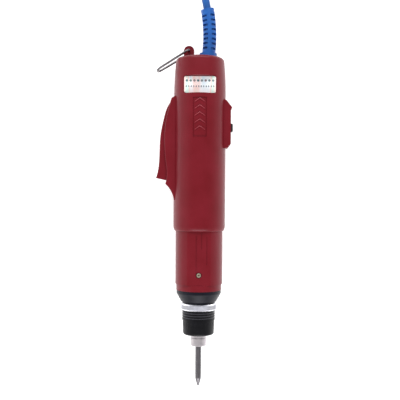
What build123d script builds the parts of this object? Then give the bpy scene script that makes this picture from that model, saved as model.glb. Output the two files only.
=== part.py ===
from build123d import *
from math import acos, cos, pi, radians, sin, sqrt, tan
import os

os.makedirs("parts", exist_ok=True)

# Electric torque screwdriver with a lever start, lying on its back with its cord coiled behind it.
# The drive axis is the Y axis. Y is 0 at the mouth of the bit sleeve, the bit points along -Y, the
# cord leaves along +Y, +Z faces the label side, the lever is at -X and the reversing switch at +X.

# Fits and clearances, and how far a cutter reaches beyond what it cuts
running = 0.06
snug = 0.03
face_gap = 0.05
free_gap = 0.2
beyond = 40.0

# Bit and quick-change sleeve
shank_radius = 2.0
bit_reach = 27.3
bit_length = 40.0
bit_taper_length = 5.2
bit_end_radius = 0.6
bit_wing_width = 0.56
bit_flute_length = 6.0
bit_flute_lean = 8.0
bit_neck_start = 0.0
bit_groove_depth = 0.5
bit_drive_flat = 0.8
bit_drive_length = 3.2
sleeve_radius = 5.25
sleeve_reach = 7.7
sleeve_hidden = 1.7
sleeve_travel = 1.8
lock_ball_radius = 1.0
lock_ball_place = 4.2
clip_width = 0.55

# Output spindle
spindle_radius = 3.2
spindle_recess = 1.4
spindle_flange_radius = 4.9
spindle_flange_width = 1.0
sleeve_spring_space = 2.1
sleeve_spring_wire = 0.25
clip_seat_radius = 2.8
clip_radius = 3.95
carrier_flat_height = 1.8
journal_radius = 2.5
bearing_radius = 4.5
bearing_width = 2.5

# Torque nut and the threaded barrel under it
nut_skirt_radius = 10.75
nut_mouth_radius = 10.5
nut_skirt_length = 9.95
nut_band_radius = 11.05
nut_band_length = 6.75
nut_groove_count = 3
nut_groove_depth = 0.45
nut_groove_width = 0.8
nut_flute_count = 24
nut_flute_radius = 0.9
nut_flute_depth = 0.22
nut_flange = 1.8
nut_edge = 1.2
thread_radius = 9.6
barrel_bore_radius = 8.2
barrel_setback = 2.5
seat_thickness = 1.5

# Lock ring, clutch housing and end band
lock_ring_radius = 12.0
lock_ring_length = 4.4
lock_ring_edge = 0.7
lock_ring_teeth = 48
lock_ring_cut = 0.35
neck_radius = 11.05
neck_length = 1.4
cone_start_radius = 12.0
cone_end_radius = 14.25
cone_length = 4.1
cone_chamfer_length = 1.4
cone_band_radius = 15.05
cone_band_length = 2.0
end_band_radius = 15.3
end_band_length = 4.3

# Clutch
clutch_lift = 0.65
clutch_spring_radius = 6.85
clutch_wire_radius = 0.6
clutch_spring_turns = 6
washer_thickness = 1.2
washer_radius = 11.2
clutch_ball_radius = 1.25
clutch_ball_circle = 7.2
clutch_ball_count = 3
cage_thickness = 1.1
cage_radius = 12.3
cage_hub_wall = 1.0
chamber_setback = 0.85

# Gears: two planetary stages in one ring gear
module = 0.4
pressure_angle = radians(25)
sun_teeth = 12
planet_teeth = 15
ring_teeth = sun_teeth + 2 * planet_teeth
planet_count = 3
tooth_share = 0.82
ring_gear_radius = 9.6
ring_gear_wall = 2.8
output_planet_width = 5.0
input_planet_width = 4.0
carrier_radius = 7.8
carrier_thickness = 1.6
planet_pin_radius = 0.9
stage_gap = 0.3

# Gear case, brake rod and motor
gear_case_radius = 13.5
rod_radius = 0.7
rod_circle = 10.8
rod_angle = 286.0
mount_thickness = 2.5
motor_radius = 12.0
motor_flat = 9.6
motor_length = 38.5
motor_wall = 1.0
motor_boss_radius = 3.5
motor_boss_height = 1.5
motor_shaft_radius = 1.0
pinion_length = 4.7
rotor_radius = 8.2
rotor_length = 20.0
magnet_thickness = 2.2
commutator_radius = 3.0
commutator_length = 8.0
end_cap_thickness = 3.0
bush_radius = 2.4

# Lower sleeve
gear_sleeve_radius = 15.9
gear_sleeve_length = 35.7
gear_sleeve_spigot = 10.2
panel_half_width = 7.8
panel_crown_radius = 25.2
panel_depth = 0.8
seam_width = 0.5
seam_depth = 0.3
seam_pitch = 3.5
sleeve_screw_radius = 1.0
sleeve_screw_head_radius = 1.7
sleeve_screw_head_height = 1.2
sleeve_screw_setback = 6.9
sleeve_screw_length = 4.2
spigot_groove_depth = 0.85

# Housing halves
housing_radius = 17.5
housing_wall = 2.0
housing_length = 116.9
lip_length = 3.7
taper_length = 24.7
shoulder_radius = 16.5
shoulder_fillet = 2.5
top_wall = 2.5
clamp_rib_width = 2.0
case_screw_radius = 1.0
case_screw_length = 16.0
case_screw_head_radius = 1.9
case_screw_head_height = 1.4
case_boss_radius = 2.8
case_screw_offset = 12.9
case_screw_top_setback = 18.7
case_screw_low_gap = 15.5

# Label, recessed panel and ear
label_width = 21.0
label_height = 10.9
label_thickness = 0.25
label_margin = 0.35
label_depth = 4.3
label_backing = 1.1
label_corner = 1.0
label_setback = 19.6
crest_width = 9.0
crest_height = 26.1
crest_depth = 0.6
crest_corner = 0.4
crest_setback = 41.3
ear_radius = 3.5
ear_thickness = 4.0
ear_offset = -7.6
ear_height = 4.9
bail_wire_radius = 0.75
bail_length = 25.0
bail_half_width = 7.2
bail_tip_half_width = 5.0
bail_lean = 32.0

# Trigger lever and its guard
guard_half_width = 6.2
guard_top_setback = 25.6
guard_foot_setback = 96.0
guard_slot_top_setback = 28.3
guard_slot_foot_setback = 83.4
guard_slot_half_width = 3.95
lever_half_width = 3.7
lever_wall = 1.6
lever_pin_radius = 1.0
lever_pin_half_length = 5.2
lever_pivot_x = -17.6
lever_pivot_setback = 31.2
lever_spring_radius = 1.8
lever_spring_wire = 0.25
lever_spring_seat = 0.6
spring_post_depth = 5.5
lever_spring_setback = 47.7

# Reversing switch at the other side
frame_half_width = 6.5
frame_top_setback = 27.8
frame_low_setback = 61.2
frame_face = 20.9
frame_ridge = 21.8
pocket_floor = 18.8
pocket_half_length = 6.1
pocket_half_width = 3.1
knob_length = 5.4
knob_half_width = 2.7
knob_top = 22.4
knob_setback = 46.9
knob_travel = 3.0
knob_stem = 2.0

# Circuit board and its switches
board_thickness = 1.6
board_half_width = 12.0
board_gap = 17.55
board_end_setback = 8.7
start_switch_height = 7.0
start_switch_length = 10.0
switch_half_width = 3.2
start_switch_setback = 58.2
start_button_radius = 1.5
start_button_reach = 3.1
brake_switch_length = 5.5
brake_switch_width = 5.0
rod_in_switch = 1.2
reversing_switch_height = 8.0
reversing_switch_length = 13.0

# Strain relief, cord and plug
relief_offset = 5.4
relief_radius = 4.5
relief_flange_radius = 5.95
relief_flange_height = 3.5
relief_length = 33.0
relief_lean = 8.0
relief_far_lean = -10.5
relief_core_radius = 3.0
relief_slot_rows = 8
relief_slot_pitch = 3.18
relief_slot_width = 1.5
relief_slot_start = 6.0
relief_web_half_width = 1.3
relief_rail_half_width = 0.9
relief_neck_radius = 4.0
cord_radius = 2.6
coil_slack = 0.1
coil_turn_radius = 34.0
coil_columns = 4
coil_layers = 2
coil_entry_angle = 200.0
coil_stub = 20.0
plug_radius = 8.3
plug_tail_radius = 4.6
plug_body_length = 30.0
plug_shell_radius = 6.65
plug_shell_wall = 0.45
plug_shell_length = 11.5
plug_pin_radius = 0.7
plug_pin_circle = 3.5
plug_pin_length = 9.0
plug_insert_depth = 3.5
tie_angle = 10.0
tie_thickness = 0.5

# Stations along the tool
nut_start = sleeve_reach
nut_end = nut_start + nut_skirt_length + nut_band_length
ring_start = nut_end + face_gap
ring_end = ring_start + lock_ring_length
cone_start = ring_end + neck_length
cone_shoulder = cone_start + cone_length
cone_end = cone_shoulder + cone_chamfer_length + cone_band_length
sleeve_start = cone_end + end_band_length
housing_start = sleeve_start + gear_sleeve_length
housing_end = housing_start + housing_length
floor = -housing_radius

clip_start = spindle_recess + clip_width
sleeve_shoulder = lock_ball_place + lock_ball_radius + 0.8
sleeve_end = sleeve_reach + sleeve_hidden
flange_start = sleeve_end + sleeve_spring_space
flange_end = flange_start + spindle_flange_width
seat_start = nut_start + nut_flange + face_gap
seat_end = seat_start + seat_thickness
barrel_start = nut_start + barrel_setback
chamber_start = cone_start + chamber_setback
washer_start = chamber_start + clutch_lift + free_gap
washer_end = washer_start + washer_thickness
ball_place = washer_end + face_gap + clutch_ball_radius
cage_start = washer_end + clutch_lift
ring_gear_start = ball_place + clutch_ball_radius - clutch_lift
cage_end = ring_gear_start - free_gap
bearing_a = cage_end - bearing_width - 0.3
bearing_b = ring_gear_start + 0.15
output_carrier = ring_gear_start + ring_gear_wall + stage_gap
output_planets = output_carrier + carrier_thickness + free_gap
input_carrier = output_planets + output_planet_width + 2 * free_gap
input_planets = input_carrier + carrier_thickness + free_gap
pinion_start = input_planets + free_gap
ring_gear_end = input_planets + input_planet_width + 4.0
mount_start = ring_gear_end + free_gap
motor_start = mount_start + mount_thickness + face_gap
motor_end = motor_start + motor_length
spigot_end = housing_start + gear_sleeve_spigot

sun_pitch = module * sun_teeth / 2
planet_pitch = module * planet_teeth / 2
ring_pitch = module * ring_teeth / 2
centre_distance = sun_pitch + planet_pitch

board_start = motor_end + board_gap
board_end = housing_end - board_end_setback
brake_switch_start = board_start - brake_switch_length
spigot_groove_start = housing_start + 4.2
lever_spring_place = housing_end - lever_spring_setback
start_switch_place = housing_end - start_switch_setback
knob_place = housing_end - knob_setback
label_place = housing_end - label_setback
label_floor = housing_radius - label_depth
crest_place = housing_end - crest_setback
lever_pivot = (lever_pivot_x, housing_end - lever_pivot_setback)
ear_centre = (ear_offset, housing_end + ear_height)


def across(y):
    """Plane across the drive axis at y, facing the cord; its own y axis points down."""
    return Plane(origin=(0, y, 0), x_dir=(1, 0, 0), z_dir=(0, 1, 0))


def turned(*outline):
    """Solid of revolution about the drive axis from (radius, y) corners."""
    return revolve(make_face(Polyline(*outline, close=True)), axis=Axis.Y)


def disc(radius, start, end, x=0.0, z=0.0):
    """Cylinder along Y."""
    return across(start) * Pos(x, -z, 0) * extrude(Circle(radius), end - start)


def tube(outer, inner, start, end):
    return turned((inner, start), (outer, start), (outer, end), (inner, end))


def block(x_low, x_high, y_low, y_high, z_low, z_high):
    size = (x_high - x_low, y_high - y_low, z_high - z_low)
    return Pos((x_low + x_high) / 2, (y_low + y_high) / 2, (z_low + z_high) / 2) * Box(*size)


def post(radius, x, y, z_low, z_high):
    """Cylinder along Z."""
    return Pos(x, y, z_low) * extrude(Circle(radius), z_high - z_low)


def plate(outline, half_width):
    """Flat piece from an outline in the XY plane, thick both ways from it."""
    return extrude(outline, half_width, both=True)


def around(count, shape):
    """Copies of a shape turned about the drive axis."""
    return [Rot(0, 360 * k / count, 0) * shape for k in range(count)]


def joined(shapes):
    return Compound(children=[solid for shape in shapes for solid in shape.solids()])


def coil_spring(radius, wire, start, end, turns):
    """Open coil along Y."""
    rise = end - start - 2 * wire
    path = across(start + wire) * Helix(rise / turns, rise, radius)
    profile = Plane(path @ 0, z_dir=path % 0) * Circle(wire)
    return sweep(profile, path)


# Bit, its quick-change sleeve and the output spindle
def make_bit():
    tip = -bit_reach
    end = tip + bit_length
    taper_start = tip + bit_taper_length
    groove_end = lock_ball_place + lock_ball_radius + free_gap
    groove_radius = shank_radius - bit_groove_depth
    shape = turned(
        (0, tip),
        (bit_end_radius, tip),
        (shank_radius, taper_start),
        (shank_radius, bit_neck_start),
        (groove_radius, bit_neck_start + bit_groove_depth),
        (groove_radius, groove_end - bit_groove_depth),
        (shank_radius, groove_end),
        (shank_radius, end - bit_groove_depth),
        (groove_radius, end),
        (0, end),
    )
    corner = bit_wing_width / 2
    flute = Polygon((corner, corner), (corner, 4), (4, 4), (4, corner), align=None)
    cutter = extrude(across(tip - 1) * flute, bit_flute_length + 1, taper=-bit_flute_lean)
    for turn in range(4):
        shape -= Rot(0, 90 * turn, 0) * cutter
    flat = block(-3, 3, end - bit_drive_length, end + 1, bit_drive_flat, 3)
    return shape - flat


def make_bit_sleeve():
    bore = spindle_radius + running
    land = shank_radius - bit_groove_depth + 2 * lock_ball_radius + running
    clip_room = clip_radius + free_gap
    land_start = clip_start + clip_width + free_gap / 2
    spring_room = spindle_radius + sleeve_spring_wire * 2 + 3 * free_gap
    edge = 0.4
    step = lock_ball_place + lock_ball_radius
    return turned(
        (clip_room, 0),
        (sleeve_radius - edge, 0),
        (sleeve_radius, edge),
        (sleeve_radius, step),
        (sleeve_radius - free_gap, step + free_gap),
        (sleeve_radius - free_gap, sleeve_end),
        (spring_room, sleeve_end),
        (spring_room, sleeve_shoulder),
        (bore, sleeve_shoulder),
        (bore, step + free_gap),
        (land, step + free_gap),
        (land, land_start),
        (clip_room, land_start),
    )


def make_spindle():
    bore = shank_radius + snug
    end = bit_length - bit_reach + free_gap
    shape = turned(
        (0, spindle_recess),
        (spindle_radius, spindle_recess),
        (spindle_radius, clip_start),
        (clip_seat_radius, clip_start),
        (clip_seat_radius, clip_start + clip_width),
        (spindle_radius, clip_start + clip_width),
        (spindle_radius, flange_start),
        (spindle_flange_radius, flange_start),
        (spindle_flange_radius, flange_end),
        (spindle_radius, flange_end),
        (spindle_radius, bearing_a - face_gap),
        (journal_radius, bearing_a - face_gap),
        (journal_radius, output_carrier + carrier_thickness),
        (0, output_carrier + carrier_thickness),
    )
    socket = disc(bore, spindle_recess - 1, end)
    drive_start = bit_length - bit_reach - bit_drive_length + free_gap
    socket -= block(-3, 3, drive_start, end + 1, bit_drive_flat + snug, 3)
    ball_room = post(lock_ball_radius + snug, 0, lock_ball_place, 0, spindle_radius + 1)
    carrier_flat = block(-4, 4, output_carrier, output_carrier + 5, carrier_flat_height, 4)
    return shape - socket - ball_room - carrier_flat


def make_lock_ball():
    height = shank_radius - bit_groove_depth + lock_ball_radius + snug
    return Pos(0, lock_ball_place, height) * Sphere(lock_ball_radius)


def make_retaining_clip():
    start = clip_start + 0.1 * clip_width
    shape = tube(clip_radius, clip_seat_radius + snug, start, start + 0.8 * clip_width)
    return shape - block(0, 6, 0, 6, -clip_width, clip_width)


def make_sleeve_spring():
    radius = spindle_radius + sleeve_spring_wire + free_gap
    start = sleeve_shoulder + face_gap
    return coil_spring(radius, sleeve_spring_wire, start, flange_start - face_gap, 3)


# Torque nut, its seat and spring, and the threaded clutch housing
def make_torque_nut():
    groove_pitch = nut_band_length / (nut_groove_count + 1)
    band_start = nut_start + nut_skirt_length
    bore = thread_radius + running
    shape = turned(
        (sleeve_radius + 0.35, nut_start),
        (nut_mouth_radius - nut_edge, nut_start),
        (nut_mouth_radius - 0.3 * nut_edge, nut_start + 0.3 * nut_edge),
        (nut_mouth_radius, nut_start + nut_edge),
        (nut_skirt_radius, band_start),
        (nut_band_radius, band_start),
        (nut_band_radius, nut_end),
        (bore, nut_end),
        (bore, nut_start + nut_flange),
        (sleeve_radius + 0.35, nut_start + nut_flange),
    )
    for k in range(nut_groove_count):
        middle = band_start + groove_pitch * (k + 1)
        low, high = middle - nut_groove_width / 2, middle + nut_groove_width / 2
        shape -= tube(nut_band_radius + 1, nut_band_radius - nut_groove_depth, low, high)
    reach = nut_skirt_radius + nut_flute_radius - nut_flute_depth
    flute = disc(nut_flute_radius, nut_start - 1, band_start - nut_edge, x=reach)
    return shape - around(nut_flute_count, flute)


def make_spring_seat():
    return tube(barrel_bore_radius - running, sleeve_radius + 0.4, seat_start, seat_end)


def make_clutch_spring():
    start = seat_end + face_gap
    end = washer_start - face_gap
    return coil_spring(clutch_spring_radius, clutch_wire_radius, start, end, clutch_spring_turns)


def make_nose_cone():
    spigot = gear_case_radius
    bore = cage_radius + snug
    room = rod_circle + rod_radius + free_gap
    return turned(
        (barrel_bore_radius, barrel_start),
        (thread_radius, barrel_start),
        (thread_radius, ring_end),
        (neck_radius, ring_end),
        (neck_radius, cone_start),
        (cone_start_radius, cone_start),
        (cone_end_radius, cone_shoulder),
        (cone_band_radius, cone_shoulder + cone_chamfer_length),
        (cone_band_radius, cone_end),
        (spigot, cone_end),
        (spigot, sleeve_start),
        (bore, sleeve_start),
        (bore, cage_start),
        (room, cage_start),
        (room, chamber_start),
        (barrel_bore_radius, chamber_start),
    )


def make_lock_ring():
    edge = lock_ring_edge
    shape = turned(
        (thread_radius + snug, ring_start),
        (lock_ring_radius - edge, ring_start),
        (lock_ring_radius, ring_start + edge),
        (lock_ring_radius, ring_end - edge),
        (lock_ring_radius - edge, ring_end),
        (thread_radius + snug, ring_end),
    )
    notch = Polygon(
        (lock_ring_radius - lock_ring_cut, 0),
        (lock_ring_radius + 0.2, lock_ring_cut),
        (lock_ring_radius + 0.2, -lock_ring_cut),
        align=None,
    )
    cutter = extrude(across(ring_start) * notch, lock_ring_length)
    return shape - around(lock_ring_teeth, cutter)


def make_end_band():
    edge = 0.4
    return turned(
        (gear_case_radius + snug, cone_end),
        (end_band_radius - edge, cone_end),
        (end_band_radius, cone_end + edge),
        (end_band_radius, sleeve_start),
        (gear_case_radius + snug, sleeve_start),
    )


# Clutch
def make_thrust_washer():
    hub = bearing_radius + cage_hub_wall + running
    return tube(washer_radius, hub + running, washer_start, washer_end)


def ball_centres():
    turns = [2 * pi * (k + 0.5) / clutch_ball_count for k in range(clutch_ball_count)]
    return [(clutch_ball_circle * cos(t), clutch_ball_circle * sin(t)) for t in turns]


def make_clutch_balls():
    ball = Sphere(clutch_ball_radius)
    return joined([Pos(x, ball_place, z) * ball for x, z in ball_centres()])


def rod_centre():
    turn = radians(rod_angle)
    return rod_circle * cos(turn), rod_circle * sin(turn)


def rod_hole(start, end):
    x, z = rod_centre()
    return disc(rod_radius + running, start, end, x, z)


def make_ball_cage():
    hub = bearing_radius + cage_hub_wall
    shape = tube(cage_radius, journal_radius + free_gap, cage_start, cage_end)
    shape += tube(hub, journal_radius + free_gap, bearing_a - face_gap, cage_end)
    shape -= disc(bearing_radius, bearing_a - 1, bearing_a + bearing_width)
    for x, z in ball_centres():
        shape -= disc(clutch_ball_radius + running, cage_start - 1, cage_end + 1, x, z)
    return shape - rod_hole(cage_start - 1, cage_end + 1)


def make_brake_rod():
    x, z = rod_centre()
    return disc(rod_radius, washer_end, brake_switch_start + rod_in_switch, x, z)


def bearing(start):
    groove = 0.3
    bore = journal_radius + snug
    middle = (bore + bearing_radius) / 2
    end = start + bearing_width
    return turned(
        (bore, start),
        (middle - groove, start),
        (middle - groove, start + groove),
        (middle + groove, start + groove),
        (middle + groove, start),
        (bearing_radius, start),
        (bearing_radius, end),
        (middle + groove, end),
        (middle + groove, end - groove),
        (middle - groove, end - groove),
        (middle - groove, end),
        (bore, end),
    )


# Gears
def gear_outline(teeth, tip, root, share):
    """Toothed outline with flanks that cross the pitch circle on the involute."""
    pitch = module * teeth / 2
    base = pitch * cos(pressure_angle)
    half_tooth = share * pi / (2 * teeth) + tan(pressure_angle) - pressure_angle

    def half_angle(radius):
        slope = acos(min(1, base / radius))
        return half_tooth - tan(slope) + slope

    corners = []
    for k in range(teeth):
        middle = 2 * pi * k / teeth
        flank = [(r, half_angle(r)) for r in (root, pitch, tip)]
        corners += [(r, middle - half) for r, half in flank]
        corners += [(r, middle + half) for r, half in reversed(flank)]
    return Polygon(*[(r * cos(a), r * sin(a)) for r, a in corners], align=None)


def sun_outline():
    return gear_outline(sun_teeth, sun_pitch + 0.85 * module, sun_pitch - 1.1 * module, tooth_share)


def planet(start, width, number):
    tip = planet_pitch + 0.8 * module
    root = planet_pitch - 1.15 * module
    outline = gear_outline(planet_teeth, tip, root, tooth_share) - Circle(planet_pin_radius + running)
    turn = 360 * number / planet_count
    spin = turn * ring_teeth / planet_teeth - turn
    place = Rot(0, 0, turn) * Pos(centre_distance, 0, 0) * Rot(0, 0, spin)
    return extrude(across(start) * place * outline, width)


def make_ring_gear():
    tip = ring_pitch + 1.1 * module
    root = ring_pitch - 0.75 * module
    space = gear_outline(ring_teeth, tip, root, 2 - tooth_share)
    shape = tube(ring_gear_radius, bearing_radius, ring_gear_start, ring_gear_end)
    teeth_start = ring_gear_start + ring_gear_wall
    shape -= extrude(across(teeth_start) * space, ring_gear_end - teeth_start + 1)
    for x, z in ball_centres():
        shape -= Pos(x, ball_place, z) * Sphere(clutch_ball_radius + face_gap)
    return shape


def carrier(start, planet_width):
    pin_end = start + carrier_thickness + planet_width + 2 * free_gap
    shape = disc(carrier_radius, start, start + carrier_thickness)
    for k in range(planet_count):
        turn = 2 * pi * k / planet_count
        x, y = centre_distance * cos(turn), centre_distance * sin(turn)
        shape += disc(planet_pin_radius, start, pin_end, x, -y)
    return shape


def make_output_carrier():
    hub = disc(journal_radius, output_carrier - 1, output_carrier + 5)
    hub -= block(-4, 4, output_carrier - 2, output_carrier + 6, carrier_flat_height, 4)
    return carrier(output_carrier, output_planet_width) - hub


def make_input_carrier():
    shape = carrier(input_carrier, input_planet_width)
    sun = extrude(across(output_planets) * sun_outline(), input_carrier - output_planets)
    return shape + sun


def make_motor_pinion():
    outline = sun_outline() - Circle(motor_shaft_radius)
    return extrude(across(pinion_start) * outline, pinion_length)


# Gear case, motor and brake
def make_gear_case():
    shape = turned(
        (ring_gear_radius + snug, ring_gear_start),
        (cage_radius, ring_gear_start),
        (cage_radius, sleeve_start + face_gap),
        (gear_case_radius, sleeve_start + face_gap),
        (gear_case_radius, mount_start),
        (ring_gear_radius + snug, mount_start),
    )
    shape -= rod_hole(ring_gear_start - 1, mount_start + 1)
    return shape - screw_holes()


def screw_holes():
    shank = sleeve_screw_radius + snug
    y = sleeve_start + sleeve_screw_setback
    tip = gear_sleeve_radius - sleeve_screw_length - free_gap
    return [post(shank, 0, y, tip, 20), post(shank, 0, y, -20, -tip)]


def make_motor_mount():
    shape = tube(gear_case_radius, motor_boss_radius + snug, mount_start, mount_start + mount_thickness)
    return shape - rod_hole(mount_start - 1, motor_start)


def motor_section(inset):
    flats = Rectangle(3 * motor_radius, 2 * (motor_flat - inset))
    return Circle(motor_radius - inset) & flats


def make_motor_can():
    shape = extrude(across(motor_start) * motor_section(0), motor_length)
    inside = across(motor_start + motor_wall) * motor_section(motor_wall)
    shape -= extrude(inside, motor_length)
    shape += disc(motor_boss_radius, motor_start - motor_boss_height, motor_start)
    return shape - disc(bush_radius, motor_start - 5, motor_start + 5)


def make_motor_magnets():
    outer = motor_radius - motor_wall
    start = motor_start + 5.0
    ring = tube(outer, outer - magnet_thickness, start, start + rotor_length + 4)
    high = 0.75 * motor_flat
    right = ring & block(0, 20, start - 1, motor_end, -high, high)
    left = ring & block(-20, 0, start - 1, motor_end, -high, high)
    return joined([right, left])


def make_motor_rotor():
    start = motor_start + 7.0
    end = start + rotor_length
    slot = Pos(0.75 * rotor_radius, 0) * Rectangle(0.5 * rotor_radius + 1, 1.8)
    section = Circle(rotor_radius)
    for k in range(5):
        section -= Rot(0, 0, 72 * k) * slot
    shape = extrude(across(start) * section, rotor_length)
    shape += disc(commutator_radius, end, end + commutator_length)
    return shape - disc(motor_shaft_radius, start - 1, end + commutator_length + 1)


def make_motor_shaft():
    return disc(motor_shaft_radius, pinion_start, motor_end + 1)


def make_motor_end_cap():
    start = motor_end - end_cap_thickness
    shape = extrude(across(start) * motor_section(motor_wall + snug), end_cap_thickness)
    shape += disc(motor_boss_radius, motor_end, motor_end + 1)
    return shape - disc(bush_radius, start - 1, motor_end + 2)


def make_motor_bushes():
    front = tube(bush_radius, motor_shaft_radius + running, motor_start - motor_boss_height, motor_start + 1)
    start = motor_end - end_cap_thickness
    rear = tube(bush_radius, motor_shaft_radius + running, start, motor_end + 0.8)
    return joined([front, rear])


def make_motor_brushes():
    end = motor_end - end_cap_thickness
    near = commutator_radius + 0.1
    right = block(near, near + 4, end - 4.0, end, -1.2, 1.2)
    return joined([right, mirror(right, Plane.YZ)])


def make_brake_switch():
    x, z = rod_centre()
    half = brake_switch_width / 2
    end = brake_switch_start + brake_switch_length
    shape = block(x - half, x + half, brake_switch_start, end, z - half, z + half)
    return shape - rod_hole(brake_switch_start - 1, brake_switch_start + rod_in_switch + free_gap)


# Lower sleeve with its flattened front panel
def make_gear_sleeve():
    bore = gear_case_radius + snug
    spigot = housing_radius - housing_wall - snug
    groove = (spigot_groove_start, spigot_groove_start + clamp_rib_width + free_gap)
    start = sleeve_start + face_gap
    shape = turned(
        (bore, start),
        (gear_sleeve_radius, start),
        (gear_sleeve_radius, housing_start - face_gap),
        (spigot, housing_start - face_gap),
        (spigot, groove[0]),
        (spigot - spigot_groove_depth, groove[0]),
        (spigot - spigot_groove_depth, groove[1]),
        (spigot, groove[1]),
        (spigot, spigot_end),
        (bore, spigot_end),
    )
    crown = gear_sleeve_radius - panel_depth
    half = panel_half_width
    skim = block(-half, half, start - 1, housing_start - face_gap, 0, 20)
    skim -= disc(panel_crown_radius, start - 2, housing_start + 1, z=crown - panel_crown_radius)
    shape -= skim
    for k, (low, high) in enumerate(((6.6, 33.0), (24.0, 41.0), (14.0, 32.0))):
        x = seam_pitch * (k - 0.5)
        end = min(sleeve_start + high, housing_start - 1)
        seam = block(x - seam_width / 2, x + seam_width / 2, sleeve_start + low, end, 0, 20)
        seam -= disc(panel_crown_radius - seam_depth, start, end + 1, z=crown - panel_crown_radius)
        shape -= seam
    y = sleeve_start + sleeve_screw_setback
    head_seat = crown - sleeve_screw_head_height
    head = sleeve_screw_head_radius + free_gap
    shape -= [post(head, 0, y, head_seat, 20), post(head, 0, y, -20, -head_seat)]
    return shape - screw_holes()


def make_sleeve_screws():
    crown = gear_sleeve_radius - panel_depth
    head_seat = crown - sleeve_screw_head_height
    y = sleeve_start + sleeve_screw_setback
    tip = gear_sleeve_radius - sleeve_screw_length
    head = post(sleeve_screw_head_radius, 0, y, head_seat, crown - 0.1)
    screw = head + post(sleeve_screw_radius, 0, y, tip, head_seat)
    screw -= block(-2, 2, y - 0.25, y + 0.25, crown - 0.6, 20)
    return joined([screw, Rot(0, 180, 0) * screw])


# Housing halves
def housing_body():
    lip = housing_radius - gear_sleeve_radius - face_gap
    lip_end = housing_start + lip_length
    taper_start = housing_end - taper_length
    taper_middle = (taper_start + housing_end - shoulder_fillet) / 2
    middle = sqrt(0.5)
    corner = shoulder_fillet * (1 - middle)
    outline = [
        Line((0, housing_start), (gear_sleeve_radius + face_gap, housing_start)),
        Bezier(
            (housing_radius - lip, housing_start),
            (housing_radius - 0.45 * lip, housing_start),
            (housing_radius, lip_end - 0.55 * lip_length),
            (housing_radius, lip_end),
        ),
        Line((housing_radius, lip_end), (housing_radius, taper_start)),
        ThreePointArc(
            (housing_radius, taper_start),
            (housing_radius - 0.25 * (housing_radius - shoulder_radius), taper_middle),
            (shoulder_radius, housing_end - shoulder_fillet),
        ),
        ThreePointArc(
            (shoulder_radius, housing_end - shoulder_fillet),
            (shoulder_radius - corner, housing_end - corner),
            (shoulder_radius - shoulder_fillet, housing_end),
        ),
        Line((shoulder_radius - shoulder_fillet, housing_end), (0, housing_end)),
        Line((0, housing_end), (0, housing_start)),
    ]
    return revolve(make_face(outline), axis=Axis.Y)


def housing_cavity():
    inner = housing_radius - housing_wall
    top = housing_end - top_wall
    return turned(
        (0, housing_start - 1),
        (inner, housing_start - 1),
        (inner, housing_end - taper_length),
        (shoulder_radius - housing_wall - 0.3, top - 1),
        (shoulder_radius - housing_wall - 1.3, top),
        (0, top),
    )


def guard_outline():
    """Fin that carries the lever, in the XY plane: proud of the body by, set back from the top by."""
    top = (-housing_radius + 1.5, housing_end - guard_top_setback)
    proud = ((1.7, 27.6), (2.9, 31.8), (4.6, 38.6), (5.9, 46.4), (6.2, 58.6), (5.5, 68.3), (4.7, 74.5))
    back = [(-housing_radius - p, housing_end - s) for p, s in proud]
    heel = (-housing_radius - 4.8, housing_end - 82.0)
    toe = (-housing_radius - 5.4, housing_end - 85.4)
    hollow = (-housing_radius - 1.9, housing_end - 89.6)
    foot = (-housing_radius + 0.3, housing_end - guard_foot_setback)
    inside = -housing_radius + 3.5
    return make_face([
        Line((inside, housing_end - guard_top_setback), top),
        Line(top, back[0]),
        Spline(*back, heel),
        Line(heel, toe),
        ThreePointArc(toe, hollow, foot),
        Line(foot, (inside, foot[1])),
        Line((inside, foot[1]), (inside, top[1])),
    ])


def frame_outline():
    inside = housing_radius - 1.5
    low, high = housing_end - frame_low_setback, housing_end - frame_top_setback
    return Polygon(
        (inside, high),
        (housing_radius + 0.5, high - 1.1),
        (frame_ridge, high - 5.9),
        (frame_face, high - 7.4),
        (frame_face, low + 3.1),
        (frame_face - 2.0, low + 0.5),
        (inside, low),
        align=None,
    )


def crest_recess():
    """Cutter for the shallow panel in the label side, with a round floor."""
    outline = RectangleRounded(crest_width, crest_height, crest_corner)
    cutter = extrude(Pos(0, crest_place, 0) * outline, beyond)
    floor_radius = housing_radius - crest_depth
    return cutter - disc(floor_radius, crest_place - crest_height, crest_place + crest_height)


def label_recess(grow, floor_height):
    """Straight-sided block over the label's place, from a flat floor outwards."""
    outline = RectangleRounded(label_width + 2 * grow, label_height + 2 * grow, label_corner + grow)
    return extrude(Pos(0, label_place, floor_height) * outline, beyond)


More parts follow.
